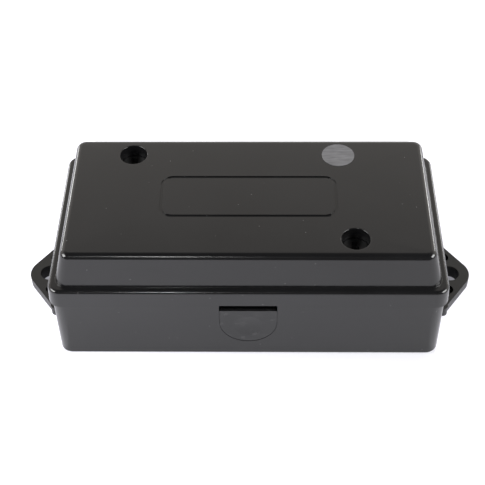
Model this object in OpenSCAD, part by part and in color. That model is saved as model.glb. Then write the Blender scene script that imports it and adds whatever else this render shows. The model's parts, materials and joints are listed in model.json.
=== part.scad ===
// Lockable bait station: a drafted box with a hinged, skirted lid, two key locks, a press-tab latch,
// a mounting lug at each end, and a bait chamber with a lift-out tray and two rods of bait blocks.
// Millimetres. The origin is the centre of the underside, +X along the length, -Y is the front, +Z is up.

/* [Box] */
// Length over the lid's skirt
skirt_l = 230; // [215:1:245]
// Width over the lid's skirt
skirt_w = 117; // [114:0.5:124]
// Height from the underside to the lid's top
total_h = 77; // [75:0.5:80]
// Height of the skirt's lower edge
skirt_z = 44.1; // [43:0.1:46]
// Height of the ledge between the skirt and the raised part of the lid
ledge_z = 56.2; // [55:0.1:58]
// Moulded wall thickness
wall = 2.2; // [1.8:0.1:2.6]
// Radius of the box's upright corners
corner_r = 7.5; // [6:0.5:10]

/* [Lid] */
// How far the foot of the raised part stands in from the skirt
ledge_w = 4.1; // [3.5:0.1:5]
// Slope of the raised part's sides from upright, in degrees
lid_slope = 13; // [10:0.5:15]
// Rounding of the lid's top edge
lid_edge_r = 4; // [2:0.5:5]
// Rounding of the skirt's top edge
skirt_edge_r = 2.2; // [1:0.1:2.5]
// Fillet between the ledge and the raised part
ledge_fillet_r = 0.3; // [0.2:0.1:1.8]
// Length and width of the rounded groove in the middle of the top
groove_size = [102.8, 32.9];
// Middle of that groove
groove_xy = [0, -0.8];
// Width of that groove
groove_w = 1.8; // [1:0.1:2.5]
// Depth of that groove
groove_d = 0.5; // [0.2:0.1:0.8]
// Middle of the blank round label
label_xy = [54.3, 35.2];
// Its diameter
label_d = 19.8; // [15:0.1:25]

/* [Locks] */
// Front lock's place on the lid
front_lock_xy = [61.2, -35.8];
// Rear lock's place on the lid
rear_lock_xy = [-70.6, 35.7];
// Diameter of the well in the lid
well_d = 16.6; // [14:0.1:18]
// Rounding of the well's rim
well_rim_r = 0.5; // [0.3:0.1:1]
// Depth of the plug's face below the lid's top
plug_depth = 8; // [6:0.5:9]
// Diameter of the plug's shaft
shaft_d = 10; // [8:0.5:11]
// Reach of the cam from the lock's axis
cam_reach = 14; // [12:0.5:15]

/* [Latch] */
// Half the width of the U-shaped opening in the front wall
tongue_half_w = 16.9; // [14:0.1:20]
// Height of the tongue's upper end
tongue_top_z = 38.8; // [36:0.1:39.5]
// Height of the centre of the tongue's round end
tongue_round_z = 28.3; // [26:0.1:30]
// Gap round the tongue
tongue_gap = 0.15; // [0.1:0.05:0.6]
// Height of the notch in the skirt above the tongue
notch_h = 1.2; // [0.5:0.1:2]

/* [Hinges] */
// Distance of each hinge from the middle
hinge_x = 72; // [50:1:85]
// Hinge pin diameter
hinge_pin_d = 3; // [2.5:0.1:4]
// Knuckle diameter
knuckle_d = 7; // [6.5:0.5:8]

/* [Lugs] */
// Distance of the lug's hole from the middle of the box
lug_hole_x = 126.2; // [125:0.1:128]
// Diameter of the lug's hole
lug_hole_d = 11.6; // [8:0.2:13]
// Rounding of the hole's upper rim
lug_rim_r = 0.3; // [0.2:0.1:1]
// Radius of the lug's round tip
lug_tip_r = 12.3; // [11:0.1:13]
// Height of the lug's top face
lug_top_z = 9; // [7:0.5:10]
// Thickness of the lug
lug_t = 6.5; // [4:0.5:8]

/* [Inside] */
// Entrance width and height
entrance_size = [30, 28];
// Distance of the entrances from the middle, towards the back
entrance_y = 36; // [34:1:38]
// Bait rod diameter
rod_d = 3; // [2.5:0.1:4]
// Number of bait blocks on each rod
block_count = 3; // [2:1:3]
// Length, width and height of a bait block
block_size = [26, 20, 20];

/* [Hidden] */

$fn = 64;
hull_fn = 32;           // facets of the rounded corners that hulls are drawn between
eps = 0.01;
clear = 0.3;            // gap between pieces that move past each other
running = 0.05;         // radial clearance of a turning fit

black = [0.10, 0.10, 0.11];
satin_black = [0.14, 0.14, 0.14];
steel = [0.62, 0.63, 0.65];
label_grey = [0.49, 0.49, 0.50];
bait_blue = [0.15, 0.45, 0.55];

// Half sizes, [x, y], of the box's outlines, from the skirt inwards
skirt_half = [skirt_l / 2, skirt_w / 2];
skirt_flare = 0.36;                             // the skirt's draft, at its lower edge
foot_half = skirt_half - [ledge_w, ledge_w];    // foot of the raised part
lid_rise = total_h - ledge_z;
top_inset = lid_rise * tan(lid_slope);          // to the top face's sharp edge
base_top_half = skirt_half - [1.2, 1.2];        // under the skirt's lower edge
base_draft = 0.3;                               // degrees from upright
base_foot_half = base_top_half - [1, 1] * skirt_z * tan(base_draft);
base_edge_r = 1.5;                              // rounding of the base's lower edge
skirt_t = 1.8;
rim_gap = 0.5;                                  // from the skirt's inside to the base's rim
rim_half = skirt_half - [1, 1] * (skirt_t + rim_gap);
rim_z = ledge_z - wall - clear;                 // top of the base's rim
rim_t = 1.6;
floor_t = 2.4;
inner_top_half = rim_half - [rim_t, rim_t];
inner_foot_half = base_foot_half - [wall, wall];
ceiling_z = total_h - wall;

// Lock stack, from the well's floor down
plug_z = total_h - plug_depth;                  // plug's face
plug_head_t = 3.5;
shoulder_z = plug_z - plug_head_t - clear;      // the well's floor
cam_t = 2;
cam_z = 42;                                     // cam's underside
boss_z = cam_z + cam_t + clear;                 // boss's lower end
boss_d = 14;
boss_step_z = 56;                               // the boss is as wide as the well's wall above this
well_wall = 2;
cam_w = 8;
cam_square = 7;                                 // the shaft's square end, across flats
cam_washer_t = 0.6;
cam_screw_d = 3;
keeper_w = 16;
keeper_reach = 8.2;                             // from the wall
keeper_lip_t = 1.8;
keeper_h = 8.2;

// Latch, in the frame of the sloped front wall: y = 0 is its outer face, y goes inwards
tongue_set_back = 0.15;
tongue_t = 2;
tongue_back_y = tongue_set_back + tongue_t;
tongue_corner_r = 0.6;                          // of its upper corners
latch_axis = [4.6, 14];                         // [y, z] of the tongue's pivot
latch_pin_d = 2;
barrel_r = 2.4;
barrel_ends = [2.8, 7];                         // each barrel, from and to this far from the middle
barrel_web_h = 2.4;                             // of the web from the tongue to the barrel
latch_lug_ends = [7.4, 10.4];
window_top_z = skirt_z + 2.7;
hook_half_w = 16.5;
hook_y = 4.8;                                   // outer face of the lid's hook blade
hook_nose_y = 2.75;                             // outer face of its nose, just inside the base's rim
hook_t = 2;
hook_foot_z = tongue_top_z - 4.5;               // low enough to close the view in through the window
hook_top_z = ledge_z + 2.8;                     // the blade's root, let into the lid's front wall
hook_fit = 0.02;                                // between the blade's root and its seat
notch_half_w = 17.1;
notch_r = 1;

// Hinges
hinge_yz = [skirt_half[1] + 4.2, skirt_z - 4.3];
base_knuckle_w = 14;
lid_knuckle_w = 8;
knuckle_gap = 0.4;

// Lugs, seen from above: [outwards from the box, along the wall]
lug_root_x = base_foot_half[0] + 0.3;
lug_strip_half = 29.8;
lug_strip_w = 8.5;
lug_shoulder = [lug_strip_w, 26.1];
lug_collar_wall = 2.2;                          // of the collar that carries the hole down to the ground
lug_pocket_y = 13.6;
lug_pocket_r = 3.5;
lug_pocket_x = [6, 9.8];                        // the middles of its round ends
lug_pocket_floor = 2;
lug_screw_y = 24;
lug_screw_d = 2.6;
lug_screw_head_d = 5.5;

// Chamber
baffle_y = 16;
baffle_t = 2;
baffle_top_z = 46;
passage_x = 86;
tray_x = [-66, 38];
tray_y = [-44, 12];
tray_z = floor_t + 0.4;
tray_wall = 1.6;
tray_wall_z = 16;
post_w = 12;
post_z = 27;
rod_z = 23.8;
rod_y = [-30, -2];
rod_overhang = 4;
rod_handle_h = 8;
block_pitch = 30;

// ---------- shared shapes ----------

function corners(half, r) =
    [for (sx = [-1, 1], sy = [-1, 1]) [sx * (half[0] - r), sy * (half[1] - r)]];

// A flat rectangle with round corners, half sizes [x, y]
module round_rect(half, r) {
    square([2 * half[0], 2 * (half[1] - r)], center = true);
    square([2 * (half[0] - r), 2 * half[1]], center = true);
    for (c = corners(half, r)) translate(c) circle(r);
}

module round_slab(half, r, z, h) {
    translate([0, 0, z]) linear_extrude(h) round_rect(half, r);
}

// A corner of radius r whose outer edge is rounded by edge, for the rounded end of a hull
module soft_corner(r, edge) {
    rotate_extrude($fn = hull_fn) intersection() {
        translate([r - edge, 0]) circle(edge, $fn = hull_fn);
        translate([0, -edge]) square([r, 2 * edge]);
    }
}

module sharp_corners(half, r, z) {
    for (c = corners(half, r)) translate([c[0], c[1], z]) cylinder(h = eps, r = r, $fn = hull_fn);
}

module soft_corners(half, r, edge, z) {
    for (c = corners(half, r)) translate([c[0], c[1], z]) soft_corner(r, edge);
}

// Cuts the rim of a hole of diameter d round, from r below the face upwards
module round_rim(d, r) {
    rotate_extrude() difference() {
        translate([d / 2 - eps, 0]) square([r + eps, r + 1]);
        translate([d / 2 + r, 0]) circle(r);
    }
}

module along_x(x, h, r) {
    translate([x, 0, 0]) rotate([0, 90, 0]) cylinder(h = h, r = r);
}

// Puts a shape drawn in the front wall's frame onto the sloped front wall
module on_front_wall() {
    translate([0, -base_foot_half[1], 0]) rotate([base_draft, 0, 0]) children();
}

// Draws a shape on both sides of the middle
module both_sides() {
    children();
    mirror([1, 0, 0]) children();
}

// ---------- base ----------

// The U-shaped outline of the tongue or its opening, grown by grow, up to the height top
module tongue_outline(half_w, top) {
    translate([0, tongue_round_z]) circle(half_w);
    translate([-half_w, tongue_round_z]) square([2 * half_w, top - tongue_round_z]);
}

module base_walls() {
    difference() {
        union() {
            hull() {
                soft_corners(base_foot_half + [0.1, 0.1], corner_r, base_edge_r, base_edge_r);
                sharp_corners(base_top_half, corner_r, skirt_z - clear - eps);
            }
            round_slab(rim_half, corner_r, skirt_z - 2, rim_z - skirt_z + 2);
        }
        hull() {
            sharp_corners(inner_foot_half, corner_r - wall, floor_t);
            sharp_corners(inner_top_half, corner_r - wall, rim_z + 1);
        }
    }
}

module entrance_cut() {
    translate([base_foot_half[0] - 6, entrance_y, 10 + entrance_size[1] / 2])
        rotate([90, 0, 90]) linear_extrude(12) round_rect(entrance_size / 2, 7);
}

module lug_screw_holes() {
    for (y = [-lug_screw_y, lug_screw_y])
        translate([0, y, lug_top_z - lug_t / 2]) along_x(inner_foot_half[0] - 2, 8, 1.7);
}

module latch_lugs() {
    both_sides()
        difference() {
            translate([latch_lug_ends[0], 0, 0]) rotate([90, 0, 90])
                linear_extrude(latch_lug_ends[1] - latch_lug_ends[0])
                polygon([[1.2, 1.2], [7.4, 1.2], [7.4, 16.6], [3, 16.6], [3, 11.8], [1.2, 11.8]]);
            translate([0, latch_axis[0], latch_axis[1]])
                along_x(latch_lug_ends[0] - 1, 6, latch_pin_d / 2 + 0.01);
        }
}

module base_knuckles() {
    y = hinge_yz[0];
    z = hinge_yz[1];
    both_sides()
        translate([hinge_x - base_knuckle_w / 2, 0, 0]) rotate([90, 0, 90])
        linear_extrude(base_knuckle_w)
        difference() {
            union() {
                translate([y, z]) circle(d = knuckle_d);
                polygon([
                    [base_top_half[1] - 1.5, z + knuckle_d / 2], [y, z + knuckle_d / 2],
                    [y + 1, z - knuckle_d / 2 + 0.2], [base_top_half[1] - 1.5, z - 11]
                ]);
            }
            translate([y, z]) circle(d = hinge_pin_d + 0.04);
        }
}

// Low rails on the floor that keep the tray in place, one at each of its corners
module tray_rails() {
    x_mid = (tray_x[0] + tray_x[1]) / 2;
    y_mid = (tray_y[0] + tray_y[1]) / 2;
    reach = [(tray_x[1] - tray_x[0]) / 2 + 0.6, (tray_y[1] - tray_y[0]) / 2 + 0.6];
    for (sx = [0, 1], sy = [0, 1])
        translate([x_mid, y_mid, floor_t - eps]) mirror([sx, 0, 0]) mirror([0, sy, 0]) {
            translate([reach[0], reach[1] - 12, 0]) cube([1.4, 12 + 1.4, 3]);
            translate([reach[0] - 12, reach[1], 0]) cube([12 + 1.4, 1.4, 3]);
        }
}

// Grooves at the end walls that the baffle slides down into
module baffle_guides() {
    both_sides()
        for (y = [baffle_y - 1.9, baffle_y + baffle_t + 0.3])
            translate([inner_foot_half[0] - 3.5, y, floor_t - eps]) cube([5, 1.6, 40]);
}

module base_shell() {
    color(black)
    difference() {
        union() {
            difference() {
                base_walls();
                on_front_wall() translate([0, 6, 0]) rotate([90, 0, 0])
                    linear_extrude(12) tongue_outline(tongue_half_w, window_top_z);
            }
            on_front_wall() latch_lugs();
            base_knuckles();
            tray_rails();
            baffle_guides();
        }
        both_sides() entrance_cut();
        both_sides() lug_screw_holes();
    }
}

// The wedge that a lock's cam turns under, bonded to the inside of the front or rear wall
module keeper(x, side) {
    wall_y = inner_top_half[1];
    low_z = cam_z + cam_t + clear;
    color(black) mirror([0, side > 0 ? 0 : 1, 0]) translate([x - keeper_w / 2, 0, 0])
        rotate([90, 0, 90]) linear_extrude(keeper_w)
        polygon([
            [wall_y, low_z], [wall_y - keeper_reach, low_z],
            [wall_y - keeper_reach, low_z + keeper_lip_t], [wall_y, low_z + keeper_h]
        ]);
}

module front_keeper() { keeper(front_lock_xy[0], -1); }
module rear_keeper() { keeper(rear_lock_xy[0], 1); }

// ---------- lid ----------

module lid_outside() {
    tangent = lid_edge_r * (tan(lid_slope) - 1 / cos(lid_slope));
    soft_half = foot_half - [1, 1] * (top_inset - tangent - lid_edge_r);
    hull() {
        sharp_corners(skirt_half + [skirt_flare, skirt_flare], corner_r, skirt_z);
        soft_corners(skirt_half, corner_r, skirt_edge_r, ledge_z - skirt_edge_r);
    }
    hull() {
        sharp_corners(foot_half, corner_r - 1, ledge_z - 1);
        soft_corners(soft_half, lid_edge_r + 2, lid_edge_r, total_h - lid_edge_r);
    }
    ledge_fillet([90, 62, 37, lid_slope]);
}

// The hollow fillet at the foot of the raised part, as one frustum between each two angles
module ledge_fillet(angles) {
    centre = ledge_fillet_r * (1 - sin(lid_slope)) / cos(lid_slope);
    for (i = [0:len(angles) - 2])
        hull() for (a = [angles[i], angles[i + 1]]) {
            out = centre - ledge_fillet_r * cos(a);
            up = ledge_fillet_r * (1 - sin(a));
            sharp_corners(foot_half + [out, out], corner_r - 1 + out, ledge_z + up - eps);
        }
}

module lid_inside() {
    shrink = [wall, wall];
    hull() {
        sharp_corners(foot_half - shrink, corner_r - wall, ledge_z - wall - 1);
        sharp_corners(foot_half - shrink - [1, 1] * (lid_rise - wall) * tan(lid_slope), 4, ceiling_z - eps);
    }
    low_z = skirt_z - 1;
    round_slab(skirt_half - [skirt_t, skirt_t], corner_r - skirt_t, low_z, ledge_z - wall - low_z);
}

module label_groove() {
    half = groove_size / 2;
    mid_r = 6.5;
    translate([groove_xy[0], groove_xy[1], total_h - groove_d]) linear_extrude(groove_d + 1)
        difference() {
            round_rect(half + [1, 1] * groove_w / 2, mid_r + groove_w / 2);
            round_rect(half - [1, 1] * groove_w / 2, mid_r - groove_w / 2);
        }
}

module lock_boss(xy) {
    translate([xy[0], xy[1], 0]) {
        translate([0, 0, boss_z]) cylinder(h = ceiling_z + 1 - boss_z, d = boss_d);
        translate([0, 0, boss_step_z]) cylinder(h = ceiling_z + 1 - boss_step_z, d = well_d + 2 * well_wall);
    }
}

module lock_bore(xy) {
    translate([xy[0], xy[1], 0]) {
        translate([0, 0, shoulder_z]) cylinder(h = total_h, d = well_d);
        translate([0, 0, boss_z - 1]) cylinder(h = total_h, r = shaft_d / 2 + running);
        translate([0, 0, total_h - well_rim_r]) round_rim(well_d, well_rim_r);
    }
}

// The blade that hangs behind the front window, with the nose that catches under the window's top
module latch_hook() {
    color(black) on_front_wall()
        translate([-hook_half_w, 0, 0]) rotate([90, 0, 90]) linear_extrude(2 * hook_half_w)
        polygon([
            [hook_y, hook_foot_z], [hook_y + hook_t, hook_foot_z],
            [hook_y + hook_t, hook_top_z], [hook_y, hook_top_z],
            [hook_y, window_top_z - 1], [hook_nose_y, window_top_z - 1.6],
            [hook_nose_y, window_top_z - 3.5], [hook_y, window_top_z - 6]
        ]);
}

// The seat in the lid's front wall that the blade's root is let into
module hook_seat() {
    low_z = ledge_z - wall - 1;
    on_front_wall() translate([-hook_half_w - hook_fit, hook_y - hook_fit, low_z])
        cube([2 * (hook_half_w + hook_fit), hook_t + 2 * hook_fit, hook_top_z + hook_fit - low_z]);
}

// The notch in the skirt's lower edge that bares the tongue's upper end
module skirt_notch() {
    translate([0, 3 - skirt_half[1], skirt_z]) rotate([90, 0, 0]) linear_extrude(4)
        round_rect([notch_half_w, notch_h], notch_r);
}

module lid_ribs() {
    for (y = [-22, 22]) translate([-98, y - 0.8, ceiling_z - 3.5]) cube([196, 1.6, 4]);
    for (x = [-40, 40]) translate([x - 0.8, -48, ceiling_z - 3.5]) cube([1.6, 96, 4]);
}

module lid_knuckles() {
    y = hinge_yz[0];
    z = hinge_yz[1];
    for (side = [-1, 1], end = [-1, 1]) {
        offset_x = (base_knuckle_w + lid_knuckle_w) / 2 + knuckle_gap;
        translate([side * hinge_x + end * offset_x - lid_knuckle_w / 2, 0, 0]) rotate([90, 0, 90])
            linear_extrude(lid_knuckle_w)
            difference() {
                union() {
                    translate([y, z]) circle(d = knuckle_d);
                    polygon([
                        [skirt_half[1] - 0.6, skirt_z + 0.6], [skirt_half[1] - 0.6, ledge_z - 2.2],
                        [skirt_half[1] + 1.2, ledge_z - 2.2], [y + knuckle_d / 2, z + 1],
                        [y + knuckle_d / 2, z], [y - knuckle_d / 2, z]
                    ]);
                }
                translate([y, z]) circle(r = hinge_pin_d / 2 + running);
            }
    }
}

module lid_shell() {
    color(black)
    difference() {
        union() {
            difference() {
                lid_outside();
                lid_inside();
            }
            intersection() {
                union() {
                    lock_boss(front_lock_xy);
                    lock_boss(rear_lock_xy);
                    lid_ribs();
                }
                translate([0, 0, boss_z]) cylinder(h = total_h - 1 - boss_z, r = 130);
            }
            lid_knuckles();
        }
        hook_seat();
        skirt_notch();
        lock_bore(front_lock_xy);
        lock_bore(rear_lock_xy);
        label_groove();
    }
}

module inspection_label() {
    color(label_grey) translate([label_xy[0], label_xy[1], total_h]) cylinder(h = 0.2, d = label_d);
}

// ---------- hinge pins ----------

module hinge_pin() {
    half = base_knuckle_w / 2 + knuckle_gap + lid_knuckle_w;
    translate([0, hinge_yz[0], hinge_yz[1]]) {
        along_x(-half - 0.6, 2 * half + 1.2, hinge_pin_d / 2);
        along_x(half + knuckle_gap, 1.2, 2.6);
    }
}

module left_hinge_pin() {
    color(steel) translate([-hinge_x, 0, 0]) mirror([1, 0, 0]) hinge_pin();
}

module right_hinge_pin() {
    color(steel) translate([hinge_x, 0, 0]) hinge_pin();
}

// ---------- latch ----------

module latch_tongue() {
    half_w = tongue_half_w - tongue_gap;
    dish_r = 80;
    color(black) on_front_wall()
    difference() {
        union() {
            translate([0, tongue_back_y, 0]) rotate([90, 0, 0]) linear_extrude(tongue_t)
                intersection() {
                    tongue_outline(half_w, tongue_top_z);
                    translate([0, tongue_top_z - 20]) round_rect([half_w, 20], tongue_corner_r);
                }
            both_sides() translate([barrel_ends[0], 0, 0]) rotate([90, 0, 90])
                linear_extrude(barrel_ends[1] - barrel_ends[0]) {
                    translate(latch_axis) circle(barrel_r);
                    translate([tongue_back_y - 0.5, latch_axis[1] + 1.5 - barrel_web_h])
                        square([2.5, barrel_web_h]);
                }
        }
        both_sides() translate([0, latch_axis[0], latch_axis[1]])
            along_x(barrel_ends[0] - 1, 6, latch_pin_d / 2 + 0.03);
        translate([0, tongue_set_back + 0.5 - dish_r, tongue_round_z - 3]) sphere(dish_r, $fn = 128);
    }
}

module latch_pin() {
    color(steel) on_front_wall() translate([0, latch_axis[0], latch_axis[1]])
        along_x(-latch_lug_ends[1] - 0.4, 2 * latch_lug_ends[1] + 0.8, latch_pin_d / 2);
}

// A torsion spring on the pin: one leg lies on the tongue, the short one reaches for the wall below
module latch_spring() {
    wire_r = 0.4;
    leg_r = 0.5;
    short_leg = [wall + leg_r + 0.35, 3.6];     // its place from the wall's outer face, and its length
    coil_r = 1.6;
    pitch = 0.78;
    color(steel) on_front_wall() {
        for (i = [-2:2])
            translate([i * pitch, latch_axis[0], latch_axis[1]]) rotate([0, 90, 0])
                rotate_extrude() translate([coil_r, 0]) circle(wire_r);
        translate([-2 * pitch, tongue_back_y + leg_r + 0.05, latch_axis[1]]) cylinder(h = 10, r = leg_r);
        translate([2 * pitch, short_leg[0], latch_axis[1] - short_leg[1]])
            cylinder(h = short_leg[1], r = leg_r);
    }
}

// ---------- locks ----------

module lock_plug(xy) {
    square_len = plug_z - plug_head_t - cam_z;
    color(satin_black) translate([xy[0], xy[1], 0])
    difference() {
        union() {
            translate([0, 0, plug_z - plug_head_t]) cylinder(h = plug_head_t, d = well_d - 2 * clear);
            translate([0, 0, cam_z + cam_t]) cylinder(h = square_len - cam_t + eps, d = shaft_d);
            translate([-cam_square / 2, -cam_square / 2, cam_z])
                cube([cam_square, cam_square, cam_t + 1]);
        }
        translate([-1.8, -5.5, plug_z - 2.2]) cube([3.6, 11, 3]);
        translate([0, 0, plug_z - 3]) cylinder(h = 4, d = 5);
        translate([0, 0, cam_z - 1]) cylinder(h = 11, d = cam_screw_d);
    }
}

// The cam points along the lid when unlocked and turns a quarter turn to reach under its keeper
module lock_cam(xy, side) {
    color(steel) translate([xy[0], xy[1], cam_z]) linear_extrude(cam_t)
    difference() {
        union() {
            circle(d = boss_d);
            translate([side > 0 ? 0 : -cam_reach + cam_w / 2, -cam_w / 2])
                square([cam_reach - cam_w / 2, cam_w]);
            translate([side * (cam_reach - cam_w / 2), 0]) circle(d = cam_w);
        }
        square(cam_square + 2 * running, center = true);
    }
}

module cam_washer(xy) {
    color(steel) translate([xy[0], xy[1], cam_z - cam_washer_t]) linear_extrude(cam_washer_t)
    difference() {
        circle(d = 9);
        circle(d = cam_screw_d + 0.4);
    }
}

module cam_screw(xy) {
    head_h = 1.8;
    head_z = cam_z - cam_washer_t - head_h;
    color(steel) translate([xy[0], xy[1], 0])
    difference() {
        union() {
            translate([0, 0, head_z]) cylinder(h = head_h, d = 6);
            translate([0, 0, head_z]) cylinder(h = head_h + cam_washer_t + 8, d = cam_screw_d - 0.04);
        }
        for (a = [0, 90]) rotate(a) translate([-1.9, -0.4, head_z - 1]) cube([3.8, 0.8, 1.9]);
    }
}

module front_lock_plug() { lock_plug(front_lock_xy); }
module rear_lock_plug() { lock_plug(rear_lock_xy); }
module front_lock_cam() { lock_cam(front_lock_xy, -1); }
module rear_lock_cam() { lock_cam(rear_lock_xy, 1); }
module front_cam_washer() { cam_washer(front_lock_xy); }
module rear_cam_washer() { cam_washer(rear_lock_xy); }
module front_cam_screw() { cam_screw(front_lock_xy); }
module rear_cam_screw() { cam_screw(rear_lock_xy); }

// ---------- mounting lugs ----------

// The tapering outline: a strip against the wall, then straight edges that run onto the round tip
module lug_outline() {
    tip = [lug_hole_x - lug_root_x, 0];
    to_shoulder = lug_shoulder - tip;
    reach = norm(to_shoulder);
    angle = atan2(to_shoulder[1], to_shoulder[0]) - acos(lug_tip_r / reach);
    tangent = tip + lug_tip_r * [cos(angle), sin(angle)];
    end_r = 3;
    polygon([
        [0, -lug_shoulder[1]], [lug_shoulder[0], -lug_shoulder[1]], [tangent[0], -tangent[1]],
        [tangent[0], tangent[1]], [lug_shoulder[0], lug_shoulder[1]], [0, lug_shoulder[1]]
    ]);
    translate(tip) circle(lug_tip_r);
    translate([0, -lug_strip_half]) square([lug_strip_w - end_r, 2 * lug_strip_half]);
    translate([0, end_r - lug_strip_half]) square([lug_strip_w, 2 * (lug_strip_half - end_r)]);
    for (s = [-1, 1]) translate([lug_strip_w - end_r, s * (lug_strip_half - end_r)]) circle(end_r);
}

// A blind pocket with round ends, from the strip to just short of the slanted edge
module lug_pocket() {
    translate([0, 0, lug_pocket_floor]) linear_extrude(lug_t) {
        for (x = lug_pocket_x) translate([x, 0]) circle(lug_pocket_r);
        translate([lug_pocket_x[0], -lug_pocket_r])
            square([lug_pocket_x[1] - lug_pocket_x[0], 2 * lug_pocket_r]);
    }
}

module lug() {
    collar_d = lug_hole_d + 2 * lug_collar_wall;
    color(satin_black) translate([lug_root_x, 0, lug_top_z - lug_t])
    difference() {
        union() {
            linear_extrude(lug_t) lug_outline();
            translate([lug_hole_x - lug_root_x, 0, lug_t - lug_top_z])
                cylinder(h = lug_top_z - 1, d = collar_d);
        }
        translate([lug_hole_x - lug_root_x, 0, -lug_top_z]) cylinder(h = 3 * lug_top_z, d = lug_hole_d);
        translate([lug_hole_x - lug_root_x, 0, lug_t - lug_rim_r]) round_rim(lug_hole_d, lug_rim_r);
        for (s = [-1, 1]) {
            translate([0, s * lug_pocket_y, 0]) lug_pocket();
            translate([0, s * lug_screw_y, lug_t / 2]) along_x(-1, 8, lug_screw_d / 2);
        }
    }
}

module left_lug() { mirror([1, 0, 0]) lug(); }
module right_lug() { lug(); }

module lug_screws() {
    head_x = inner_foot_half[0] - 2.1;
    color(steel)
    for (y = [-lug_screw_y, lug_screw_y])
        translate([0, y, lug_top_z - lug_t / 2]) {
            along_x(head_x, 1.9, lug_screw_head_d / 2);
            along_x(head_x, 11, lug_screw_d / 2 - 0.02);
        }
}

module left_lug_screws() { mirror([1, 0, 0]) lug_screws(); }
module right_lug_screws() { lug_screws(); }

// ---------- bait chamber ----------

module baffle_wall() {
    half_l = inner_foot_half[0] - 0.3;
    arch_r = 15;
    color(black) translate([0, baffle_y + baffle_t, 0]) rotate([90, 0, 0]) linear_extrude(baffle_t)
    difference() {
        translate([-half_l, floor_t + 0.1]) square([2 * half_l, baffle_top_z - floor_t]);
        for (x = [-passage_x, passage_x]) translate([x, 8]) {
            translate([-arch_r, 0]) square([2 * arch_r, 15]);
            translate([0, 15]) circle(arch_r);
        }
    }
}

module bait_tray() {
    size = [tray_x[1] - tray_x[0], tray_y[1] - tray_y[0]];
    color(satin_black) translate([tray_x[0], tray_y[0], tray_z])
    difference() {
        union() {
            difference() {
                cube([size[0], size[1], tray_wall_z - tray_z]);
                translate([tray_wall, tray_wall, tray_wall])
                    cube([size[0] - 2 * tray_wall, size[1] - 2 * tray_wall, tray_wall_z]);
            }
            for (y = rod_y, x = [0, size[0] - tray_wall])
                translate([x, y - tray_y[0] - post_w / 2, 0]) cube([tray_wall, post_w, post_z - tray_z]);
        }
        for (y = rod_y) translate([-1, y - tray_y[0], rod_z - tray_z]) {
            along_x(0, size[0] + 2, rod_d / 2 + clear);
            translate([0, -rod_d / 2 - clear, 0]) cube([size[0] + 2, rod_d + 2 * clear, 10]);
        }
    }
}

module bait_rod(y) {
    x0 = tray_x[0] - rod_overhang;
    x1 = tray_x[1] + rod_overhang;
    color(steel) translate([0, y, rod_z]) {
        along_x(x0, x1 - x0, rod_d / 2);
        along_x(x0 - 1.2, 1.2, rod_d / 2 + 1);
        translate([x1, 0, 0]) sphere(rod_d / 2);
        translate([x1, 0, 0]) cylinder(h = rod_handle_h, r = rod_d / 2);
    }
}

module bait_blocks(y) {
    mid_x = (tray_x[0] + tray_x[1]) / 2;
    half = [block_size[2] / 2, block_size[1] / 2];
    chamfer = 3;
    color(bait_blue)
    for (i = [0:block_count - 1])
        translate([mid_x + (i - (block_count - 1) / 2) * block_pitch - block_size[0] / 2, y, rod_z])
            rotate([0, 90, 0]) linear_extrude(block_size[0])
            difference() {
                polygon([
                    [half[0], half[1] - chamfer], [half[0] - chamfer, half[1]],
                    [chamfer - half[0], half[1]], [-half[0], half[1] - chamfer],
                    [-half[0], chamfer - half[1]], [chamfer - half[0], -half[1]],
                    [half[0] - chamfer, -half[1]], [half[0], chamfer - half[1]]
                ]);
                circle(rod_d / 2 + 0.3);
            }
}

module front_bait_rod() { bait_rod(rod_y[0]); }
module rear_bait_rod() { bait_rod(rod_y[1]); }
module front_bait_blocks() { bait_blocks(rod_y[0]); }
module rear_bait_blocks() { bait_blocks(rod_y[1]); }

base_shell();
front_keeper();
rear_keeper();
lid_shell();
latch_hook();
left_lug();
right_lug();
left_lug_screws();
right_lug_screws();
left_hinge_pin();
right_hinge_pin();
latch_tongue();
latch_pin();
latch_spring();
front_lock_plug();
front_lock_cam();
front_cam_washer();
front_cam_screw();
rear_lock_plug();
rear_lock_cam();
rear_cam_washer();
rear_cam_screw();
inspection_label();
baffle_wall();
bait_tray();
front_bait_rod();
front_bait_blocks();
rear_bait_rod();
rear_bait_blocks();
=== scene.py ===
"""Looks for the lockable bait station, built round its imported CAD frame. All lengths are in metres."""

import json
import math

import bpy
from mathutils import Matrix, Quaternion, Vector


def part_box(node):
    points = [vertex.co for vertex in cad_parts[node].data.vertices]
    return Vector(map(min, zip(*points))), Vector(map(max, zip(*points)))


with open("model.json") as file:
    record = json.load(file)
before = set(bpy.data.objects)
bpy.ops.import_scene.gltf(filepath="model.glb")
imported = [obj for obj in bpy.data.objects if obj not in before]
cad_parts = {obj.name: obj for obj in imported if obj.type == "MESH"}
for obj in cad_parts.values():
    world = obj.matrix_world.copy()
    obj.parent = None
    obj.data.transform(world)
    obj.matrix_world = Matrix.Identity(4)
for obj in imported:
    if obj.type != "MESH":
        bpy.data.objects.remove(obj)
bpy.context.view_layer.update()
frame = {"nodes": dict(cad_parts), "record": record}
nodes = frame["nodes"]
scene = bpy.context.scene
scene.view_settings.view_transform = "Standard"

MM = 0.001


# ---------- places on the object ----------

# Top of the lid, and half the length and width of a box round the two long sides of the groove in it
LID_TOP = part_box("lid_shell")[1][2]
GROOVE_SIDES = (48 * MM, 19 * MM)

# The lugs' holes stand on the X axis, at the same distance from the middle on each side
lug_hole = next(mount for mount in frame["record"]["mounts"] if mount["name"] == "right_lug_hole")
HOLE_X = lug_hole["pos_m"][0]
HOLE_R = lug_hole["dims"]["r_mm"] * MM


# ---------- camera ----------

LENS_MM = 83.95
CAMERA_PLACE = (0.00697, -0.48230, 0.53785)
CAMERA_TARGET = (-0.00411, 0.00647, 0.02999)
CAMERA_ROLL = math.radians(-0.862)


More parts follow.
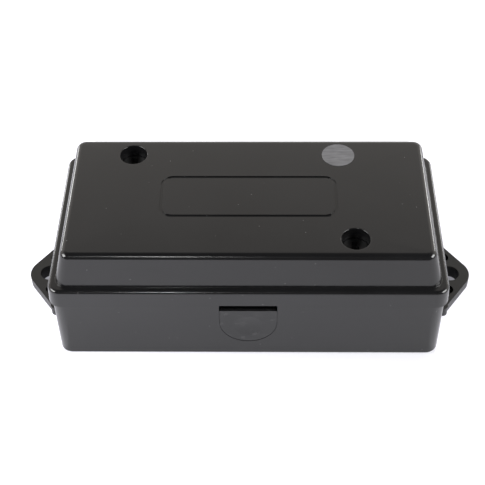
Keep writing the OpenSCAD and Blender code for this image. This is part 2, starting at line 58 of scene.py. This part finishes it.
def facing(place, target):
    """The rotation that turns a camera or light at place towards target."""
    return (Vector(target) - Vector(place)).to_track_quat("-Z", "Y")


def make_camera():
    data = bpy.data.cameras.new("camera")
    data.lens = LENS_MM
    data.clip_start = 10 * MM
    camera = bpy.data.objects.new("camera", data)
    scene.collection.objects.link(camera)
    camera.location = CAMERA_PLACE
    roll = Quaternion((0, 0, 1), CAMERA_ROLL)
    camera.rotation_euler = (facing(CAMERA_PLACE, CAMERA_TARGET) @ roll).to_euler()
    scene.camera = camera


make_camera()


# ---------- node helpers ----------

class Nodes:
    """The node tree of a material or world, with short calls for adding and linking nodes.

    main is the shader that the tree's output shows. Where a call takes a value, that is either a plain one
    or another node's output.
    """

    def __init__(self, owner, main="Principled BSDF", coords="Object"):
        owner.use_nodes = True
        self.owner = owner
        self.tree = owner.node_tree
        self.main = self.tree.nodes[main]
        self.coords = self.add("ShaderNodeTexCoord").outputs[coords]

    def add(self, kind, **settings):
        node = self.tree.nodes.new(kind)
        for key, value in settings.items():
            setattr(node, key, value)
        return node

    def feed(self, socket, value):
        if hasattr(value, "is_linked"):
            self.tree.links.new(value, socket)
        else:
            socket.default_value = value

    def set(self, node, **values):
        """Feeds inputs by their names, with an underscore for each space."""
        for key, value in values.items():
            self.feed(node.inputs[key.replace("_", " ")], value)

    def xyz(self):
        """The three coordinates of the shaded point."""
        node = self.add("ShaderNodeSeparateXYZ")
        self.set(node, Vector=self.coords)
        return tuple(node.outputs)

    def stretch(self, x, y, z):
        """The coordinates scaled along each axis, for a pattern that is longer one way."""
        node = self.add("ShaderNodeMapping")
        self.set(node, Vector=self.coords, Scale=(x, y, z))
        return node.outputs["Vector"]

    def noise(self, scale, detail, rough=0.5, vector=None):
        node = self.add("ShaderNodeTexNoise")
        self.set(node, Vector=vector or self.coords, Scale=scale, Detail=detail, Roughness=rough)
        return node.outputs["Fac"]

    def remap(self, value, low, high, to_low, to_high, smooth=False):
        """to_low where value is low, to_high where it is high, and a straight or smooth ramp between them."""
        node = self.add("ShaderNodeMapRange", interpolation_type="SMOOTHSTEP" if smooth else "LINEAR")
        self.set(node, Value=value, From_Min=low, From_Max=high, To_Min=to_low, To_Max=to_high)
        return node.outputs["Result"]

    def math(self, operation, a, b=0.0):
        node = self.add("ShaderNodeMath", operation=operation)
        self.feed(node.inputs[0], a)
        self.feed(node.inputs[1], b)
        return node.outputs["Value"]

    def plus(self, a, b):
        return self.math("ADD", a, b)

    def times(self, first, *others):
        for other in others:
            first = self.math("MULTIPLY", first, other)
        return first

    def mix(self, factor, a, b):
        """A colour from a, where factor is 0, to b, where it is 1."""
        node = self.add("ShaderNodeMix", data_type="RGBA")
        factor_input, a_input, b_input, colour_output = 0, 6, 7, 2
        self.feed(node.inputs[factor_input], factor)
        self.feed(node.inputs[a_input], a)
        self.feed(node.inputs[b_input], b)
        return node.outputs[colour_output]

    def bump(self, height, distance, strength, under=None):
        """A bumped normal; under is another bump that this one lies on."""
        node = self.add("ShaderNodeBump")
        self.set(node, Height=height, Distance=distance, Strength=strength)
        if under is not None:
            self.set(node, Normal=under)
        return node.outputs["Normal"]

    def specks(self, scale, radius, share):
        """1 inside small random dots, 0 elsewhere; share of the cells have a dot."""
        cell = self.add("ShaderNodeTexVoronoi")
        self.set(cell, Vector=self.coords, Scale=scale)
        near = self.remap(cell.outputs["Distance"], radius * 0.6, radius, 1.0, 0.0)
        split = self.add("ShaderNodeSeparateColor")
        self.set(split, Color=cell.outputs["Color"])
        chosen = self.math("LESS_THAN", split.outputs["Red"], share)
        return self.times(near, chosen)


def material_nodes(name):
    return Nodes(bpy.data.materials.new(name))


def grey(value, blue=0.0):
    """A grey whose blue is stronger by the given share."""
    return (value, value, value * (1 + blue), 1)


def from_lug_hole(n):
    """The squared distance of the shaded point from the nearer lug hole's axis."""
    x, y = n.xyz()[:2]
    off = n.math("SUBTRACT", n.math("ABSOLUTE", x), HOLE_X)
    return n.plus(n.times(off, off), n.times(y, y))


def in_groove(n):
    """1 below the lid's top and inside the box round its groove's long sides, 0 elsewhere."""
    x, y, z = n.xyz()
    near_x = n.math("LESS_THAN", n.math("ABSOLUTE", x), GROOVE_SIDES[0])
    near_y = n.math("LESS_THAN", n.math("ABSOLUTE", y), GROOVE_SIDES[1])
    below = n.remap(z, LID_TOP - 0.15 * MM, LID_TOP - 0.05 * MM, 1.0, 0.0)
    return n.times(near_x, near_y, below)


# ---------- materials ----------

def gloss_black(name, dust=0.75, scuffs=0.0, groove=False):
    """Glossy moulded black with slow unevenness, a fine grain and a little dust.

    dust is the share of places that hold a speck, scuffs is how strongly pale rub marks show, and groove
    darkens the groove in the lid with painted shade, by weakening its reflection.
    """
    n = material_nodes(name)
    colour = n.mix(n.noise(18, detail=3), grey(0.005, blue=0.05), grey(0.010, blue=0.08))
    rough = n.remap(n.noise(45, detail=4), 0.3, 0.7, 0.13, 0.20)
    dots = n.specks(160, radius=0.045, share=dust)
    colour = n.mix(dots, colour, grey(0.13))
    rough = n.plus(rough, n.times(dots, 0.35))
    if scuffs:
        patches = n.noise(1.0, detail=4, vector=n.stretch(170, 170, 330))
        marks = n.remap(patches, 0.56, 0.72, 0.0, scuffs)
        colour = n.mix(marks, colour, grey(0.10))
        rough = n.plus(rough, n.times(marks, 0.4))
    if groove:
        # Painted shade: the groove's reflection is weakened so that it looks dark
        n.set(n.main, Specular_IOR_Level=n.remap(in_groove(n), 0, 1, 0.5, 0.05))
    grain = n.bump(n.noise(1400, detail=1), distance=0.012 * MM, strength=0.35)
    waves = n.bump(n.noise(22, detail=1), distance=0.09 * MM, strength=0.16, under=grain)
    n.set(n.main, Base_Color=colour, Roughness=rough, IOR=1.5, Normal=waves)
    return n.owner


def satin_look(n, dark, pale):
    """Colour, roughness and normal of finely grained plastic that varies between two shades."""
    colour = n.mix(n.noise(60, detail=4), grey(dark), grey(pale))
    rough = n.remap(n.noise(90, detail=4), 0.3, 0.7, 0.36, 0.50)
    grain = n.bump(n.noise(2200, detail=2), distance=0.03 * MM, strength=0.5)
    return colour, rough, grain


def satin_plastic(name, shade):
    n = material_nodes(name)
    colour, rough, grain = satin_look(n, shade * 0.8, shade * 1.3)
    n.set(n.main, Base_Color=colour, Roughness=rough, Normal=grain)
    return n.owner


def bored_black(name):
    """Satin black with a rougher and faintly ringed wall inside the lug's hole, which reflects less as
    painted shade.
    """
    n = material_nodes(name)
    colour, rough, grain = satin_look(n, 0.009, 0.016)
    bore = n.remap(from_lug_hole(n), (HOLE_R - 0.1 * MM) ** 2, (HOLE_R + 0.4 * MM) ** 2, 1.0, 0.0)
    colour = n.mix(bore, colour, grey(0.016))
    rough = n.plus(rough, n.times(bore, 0.15))
    # Painted shade: the wall inside the hole reflects less, so that it looks dark
    painted_bore_shade = n.remap(bore, 0, 1, 0.46, 0.26)
    z = n.xyz()[2]
    ring_pitch = 1.496 * MM
    rings = n.math("SINE", n.times(z, 2 * math.pi / ring_pitch))
    normal = n.bump(n.times(rings, bore), distance=0.08 * MM, strength=0.6, under=grain)
    n.set(n.main, Base_Color=colour, Roughness=rough, Specular_IOR_Level=painted_bore_shade, Normal=normal)
    return n.owner


def zinc_steel():
    n = material_nodes("zinc_steel")
    colour = n.mix(n.noise(160, detail=5), (0.42, 0.43, 0.45, 1), (0.62, 0.63, 0.62, 1))
    rough = n.remap(n.noise(260, detail=4), 0.3, 0.7, 0.24, 0.42)
    grain = n.bump(n.noise(900, detail=3), distance=0.02 * MM, strength=0.5)
    n.set(n.main, Base_Color=colour, Roughness=rough, Metallic=1.0, Normal=grain)
    return n.owner


def label_film():
    """Grey film with fine streaks along X."""
    n = material_nodes("label_film")
    fibres = n.noise(1.0, detail=5, rough=0.6, vector=n.stretch(110, 800, 1))
    streaks = n.remap(fibres, 0.3, 0.7, 0, 1)
    colour = n.mix(streaks, grey(0.080, blue=0.06), grey(0.160, blue=0.06))
    relief = n.bump(streaks, distance=0.04 * MM, strength=0.6)
    n.set(n.main, Base_Color=colour, Roughness=0.62, Normal=relief)
    return n.owner


def bait_wax():
    """Pressed grain in blue wax."""
    n = material_nodes("bait_wax")
    grain = n.noise(420, detail=3)
    colour = n.mix(n.remap(grain, 0.42, 0.6, 0, 1), (0.03, 0.17, 0.26, 1), (0.10, 0.34, 0.42, 1))
    n.set(n.main, Base_Color=colour, Roughness=0.55, Normal=n.bump(grain, distance=0.3 * MM, strength=0.7))
    return n.owner


# ---------- CAD nodes that stay ----------

# The finish of each of the record's material slots
FINISHES = {
    "shell_black": gloss_black("shell_black"),
    "satin_black": satin_plastic("satin", shade=0.016),
    "tray_grey": satin_plastic("tray_grey", shade=0.09),
    "zinc_steel": zinc_steel(),
    "label_grey": label_film(),
    "bait_blue": bait_wax(),
}

# Nodes with a finish of their own; the lid's groove, the lugs' holes and the lock plugs carry painted shade
lug_black = bored_black("lug_black")
# Painted shade: the lock plugs, deep in their wells, get a darker satin that stands in for the shade there
plug_shaded_black = satin_plastic("plug_shaded_black", shade=0.007)
OWN_FINISH = {
    "lid_shell": gloss_black("lid_black", groove=True),
    "left_lug": lug_black,
    "right_lug": lug_black,
    "latch_tongue": gloss_black("tongue_black", dust=0.6, scuffs=0.22),
    "front_lock_plug": plug_shaded_black,
    "rear_lock_plug": plug_shaded_black,
}

# Width of the rounding on sharp edges, and the nodes where it is narrower
EDGE = 0.25 * MM
FINE_EDGE = 0.08 * MM
OWN_EDGE = {"latch_tongue": FINE_EDGE, "base_shell": FINE_EDGE}

# Edges that turn by more than the first angle are rounded, and the shading breaks past the second one
ROUNDED_FROM = math.radians(35)
SHARP_FROM = math.radians(40)


def paint(piece, material):
    piece.data.materials.clear()
    piece.data.materials.append(material)


def soften(piece, width):
    """Rounds a CAD piece's sharp edges a little and keeps its flat faces flat."""
    weld = piece.modifiers.new("weld", "WELD")
    weld.merge_threshold = 0.002 * MM
    bevel = piece.modifiers.new("edges", "BEVEL")
    bevel.width = width
    bevel.segments = 2
    bevel.limit_method = "ANGLE"
    bevel.angle_limit = ROUNDED_FROM
    piece.data.shade_smooth()
    piece.data.set_sharp_from_angle(angle=SHARP_FROM)
    normals = piece.modifiers.new("normals", "WEIGHTED_NORMAL")
    normals.keep_sharp = True
    normals.weight = 90


for sub in frame["record"]["subparts"]:
    name = sub["node"]
    paint(nodes[name], OWN_FINISH.get(name, FINISHES[sub["material_slot"]]))
    soften(nodes[name], OWN_EDGE.get(name, EDGE))


# ---------- floor and light ----------

def make_floor():
    half = 12.0
    corners = [(-half, -half, 0), (half, -half, 0), (half, half, 0), (-half, half, 0)]
    mesh = bpy.data.meshes.new("floor")
    mesh.from_pydata(corners, [], [(0, 1, 2, 3)])
    floor = bpy.data.objects.new("floor", mesh)
    scene.collection.objects.link(floor)
    n = material_nodes("floor_white")
    x, y = n.xyz()[:2]
    # Painted shade on the floor's glow: it fades to the right and, between the box's two ends, towards the
    # box's front, standing in for the box's shadow and light falling off to the right
    painted_shade_right = n.remap(x, -100 * MM, 100 * MM, 0.95, 0.68)
    painted_front_shadow = n.remap(y, -112 * MM, -60 * MM, 1.0, 0.62)
    past_ends = n.remap(n.math("ABSOLUTE", x), 108 * MM, 114 * MM, 0.0, 1.0)
    along = n.math("MAXIMUM", painted_front_shadow, past_ends)
    # A painted shadow: the floor's glow is darker under the lugs' holes, where the lugs keep the light out
    under = n.remap(from_lug_hole(n), (HOLE_R + 1.2 * MM) ** 2, (HOLE_R + 3.2 * MM) ** 2, 0.32, 1.0)
    n.set(n.main, Base_Color=grey(0.46), Roughness=0.9)
    n.set(n.main, Emission_Color=(0.985, 0.98, 1.085, 1), Emission_Strength=n.times(painted_shade_right, along, under))
    mesh.materials.append(n.owner)


def make_world():
    scene.world = bpy.data.worlds.new("studio")
    n = Nodes(scene.world, main="Background", coords="Generated")
    y, z = n.xyz()[1:]
    # Pale up to about 45 degrees above the horizon on the far side, dark overhead
    height = n.remap(z, 0.50, 0.95, 1.32, 0.03, smooth=True)
    side = n.remap(y, -0.15, 0.35, 0.06, 1.0, smooth=True)
    # The backdrop that the camera sees is plain
    path = n.add("ShaderNodeLightPath")
    strength = n.add("ShaderNodeMix")
    n.set(strength, Factor=path.outputs["Is Camera Ray"], A=n.times(height, side), B=0.95)
    n.set(n.main, Color=(1.0, 0.955, 0.90, 1), Strength=strength.outputs["Result"])


def softbox(name, place, size, watts):
    """A rectangular light that faces the middle of the object."""
    data = bpy.data.lights.new(name, "AREA")
    data.shape = "RECTANGLE"
    data.size, data.size_y = size
    data.energy = watts
    light = bpy.data.objects.new(name, data)
    scene.collection.objects.link(light)
    light.location = place
    light.rotation_euler = facing(place, (0, 0, 40 * MM)).to_euler()
    light.visible_camera = False


make_floor()
make_world()
for side, sign in (("left", -1), ("right", 1)):
    softbox(side + "_box", (sign * 1.5, -0.45, 1.0), size=(1.1, 0.8), watts=36)
    softbox(side + "_rim", (sign * 1.4, 1.35, 0.3), size=(0.26, 0.3), watts=3)
softbox("strip", (-0.178, -1.0, 1.15), size=(0.06, 0.10), watts=1.7)
